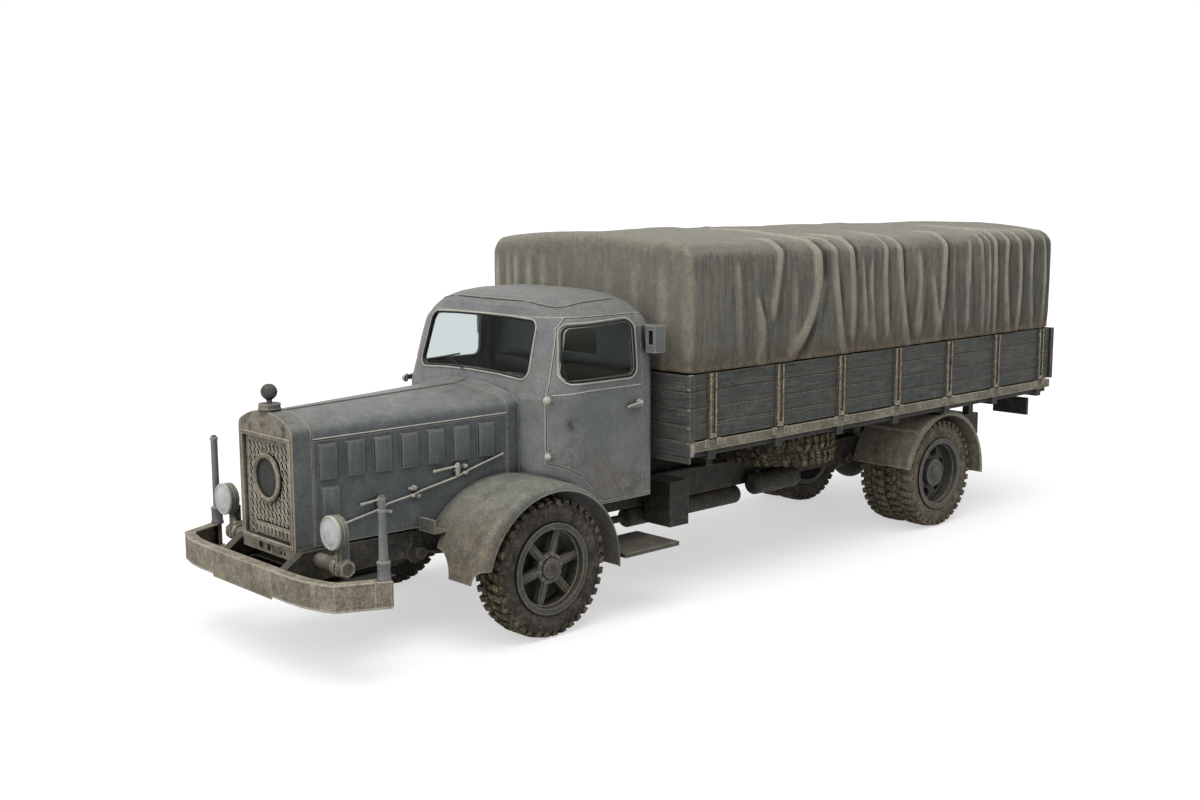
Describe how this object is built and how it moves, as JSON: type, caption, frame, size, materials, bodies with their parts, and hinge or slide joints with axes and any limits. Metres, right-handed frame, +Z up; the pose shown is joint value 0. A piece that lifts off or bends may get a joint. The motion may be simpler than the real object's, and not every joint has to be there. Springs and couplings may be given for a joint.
{
  "type": "military cargo truck",
  "caption": "Bonneted flatbed cargo truck with a closed cab, folding bonnet, steered front wheels, twin rear wheels, drop sides and a canvas cover on bows.",
  "frame": {"origin": "on the ground, below the middle of the overall length and width", "axes": "+X forwards, towards the bumper, +Y to the truck's left, +Z up"},
  "size_m": [8.75, 2.5, 2.9549],
  "materials": {
    "body_paint": "semi-matt blue-grey service paint, dusty and worn at the edges",
    "chassis_paint": "matt dark grey chassis paint with road dirt",
    "bumper_paint": "matt grey paint weathered to a dusty tan",
    "wheel_paint": "semi-matt blue-grey paint with mud in the corners",
    "marker_paint": "matt dark grey paint",
    "grille_metal": "dusty dark grey painted mesh and bars",
    "cast_iron": "as-cast iron with oil stains",
    "tyre": "worn black-brown rubber with dried mud on the tread",
    "window_glass": "clear flat window glass, slightly dusty",
    "lamp_glass": "milky pale grey lamp glass",
    "canvas": "heavy grey-khaki canvas, faded and dirty at the hem",
    "planks": "painted dark grey softwood planks",
    "seat_leather": "dark brown oilcloth leather",
    "black_resin": "moulded black resin"
  },
  "bodies": {
    "root": {"rails": "chassis_paint", "crossmembers": "chassis_paint", "bumper": "bumper_paint", "engine": "cast_iron", "driveline": "chassis_paint", "silencer": "chassis_paint", "front_axle": "chassis_paint", "front_springs": "chassis_paint", "rear_axle": "chassis_paint", "rear_springs": "chassis_paint", "spare_tyre": "tyre", "spare_rim": "wheel_paint", "radiator_shell": "body_paint", "grille": "grille_metal", "bonnet_sides": "body_paint", "cowl": "body_paint", "cab_roof": "body_paint", "cab_floor": "body_paint", "cab_rear": "body_paint", "cab_front": "body_paint", "cab_glass": "window_glass", "fenders": "body_paint", "mudguards": "body_paint", "steps": "chassis_paint", "headlamps": "body_paint", "lamp_lenses": "lamp_glass", "marker_rods": "marker_paint", "indicator_boxes": "body_paint", "tanks": "chassis_paint", "battery_box": "chassis_paint", "seat_base": "chassis_paint", "seat_cushion": "seat_leather", "seat_back": "seat_leather", "dashboard": "body_paint", "steering_wheel": "black_resin", "bed_floor": "planks", "bed_bearers": "chassis_paint", "headboard": "planks", "tarp": "canvas", "tarp_bows": "planks"},
    "knuckle_left": {"knuckle_left": "chassis_paint"},
    "knuckle_right": {"knuckle_right": "chassis_paint"},
    "tie_rod": {"tie_rod": "chassis_paint"},
    "front_wheel_left": {"front_tyre_left": "tyre", "front_wheel_left": "wheel_paint"},
    "front_wheel_right": {"front_tyre_right": "tyre", "front_wheel_right": "wheel_paint"},
    "rear_wheel_left": {"rear_tyres_left": "tyre", "rear_wheel_left": "wheel_paint"},
    "rear_wheel_right": {"rear_tyres_right": "tyre", "rear_wheel_right": "wheel_paint"},
    "door_left": {"door_left": "body_paint", "door_glass_left": "window_glass"},
    "door_right": {"door_right": "body_paint", "door_glass_right": "window_glass"},
    "bonnet_left": {"bonnet_left": "body_paint"},
    "bonnet_right": {"bonnet_right": "body_paint"},
    "side_left": {"side_left": "planks"},
    "side_right": {"side_right": "planks"},
    "tailgate": {"tailgate": "planks"}
  },
  "joints": [
    {"name": "steer_left", "type": "hinge", "parent": "root", "child": "knuckle_left", "pos_m": [2.448, 0.8, 0.529], "axis": [0, 0, 1], "range_deg": [-30, 30]},
    {"name": "steer_right", "type": "hinge", "parent": "root", "child": "knuckle_right", "pos_m": [2.448, -0.8, 0.529], "axis": [0, 0, 1], "range_deg": [-30, 30]},
    {"name": "tie_rod_end", "type": "hinge", "parent": "knuckle_left", "child": "tie_rod", "pos_m": [2.238, 0.8, 0.529], "axis": [0, 0, 1], "range_deg": [-30, 30]},
    {"name": "front_left_spin", "type": "hinge", "parent": "knuckle_left", "child": "front_wheel_left", "pos_m": [2.448, 1, 0.529], "axis": [0, 1, 0], "continuous": true},
    {"name": "front_right_spin", "type": "hinge", "parent": "knuckle_right", "child": "front_wheel_right", "pos_m": [2.448, -1, 0.529], "axis": [0, 1, 0], "continuous": true},
    {"name": "rear_left_spin", "type": "hinge", "parent": "root", "child": "rear_wheel_left", "pos_m": [-2.602, 0.957, 0.529], "axis": [0, 1, 0], "continuous": true},
    {"name": "rear_right_spin", "type": "hinge", "parent": "root", "child": "rear_wheel_right", "pos_m": [-2.602, -0.957, 0.529], "axis": [0, 1, 0], "continuous": true},
    {"name": "door_left_hinge", "type": "hinge", "parent": "root", "child": "door_left", "pos_m": [2.286, 0.897, 1.5], "axis": [0, 0, -1], "range_deg": [0, 70]},
    {"name": "door_right_hinge", "type": "hinge", "parent": "root", "child": "door_right", "pos_m": [2.286, -0.897, 1.5], "axis": [0, 0, 1], "range_deg": [0, 70]},
    {"name": "bonnet_left_hinge", "type": "hinge", "parent": "root", "child": "bonnet_left", "pos_m": [2.446, 0, 1.805], "axis": [0.9995, 0, -0.031], "range_deg": [0, 70]},
    {"name": "bonnet_right_hinge", "type": "hinge", "parent": "root", "child": "bonnet_right", "pos_m": [2.446, 0, 1.805], "axis": [-0.9995, 0, 0.031], "range_deg": [0, 70]},
    {"name": "side_left_hinge", "type": "hinge", "parent": "root", "child": "side_left", "pos_m": [-1.6, 1.243, 1.315], "axis": [-1, 0, 0], "range_deg": [0, 175]},
    {"name": "side_right_hinge", "type": "hinge", "parent": "root", "child": "side_right", "pos_m": [-1.6, -1.243, 1.315], "axis": [1, 0, 0], "range_deg": [0, 175]},
    {"name": "tailgate_hinge", "type": "hinge", "parent": "root", "child": "tailgate", "pos_m": [-4.368, 0, 1.315], "axis": [0, -1, 0], "range_deg": [0, 175]}
  ],
  "couplings": [
    {"joint": "steer_right", "follows": "steer_left", "ratio": 1},
    {"joint": "tie_rod_end", "follows": "steer_left", "ratio": -1}
  ]
}
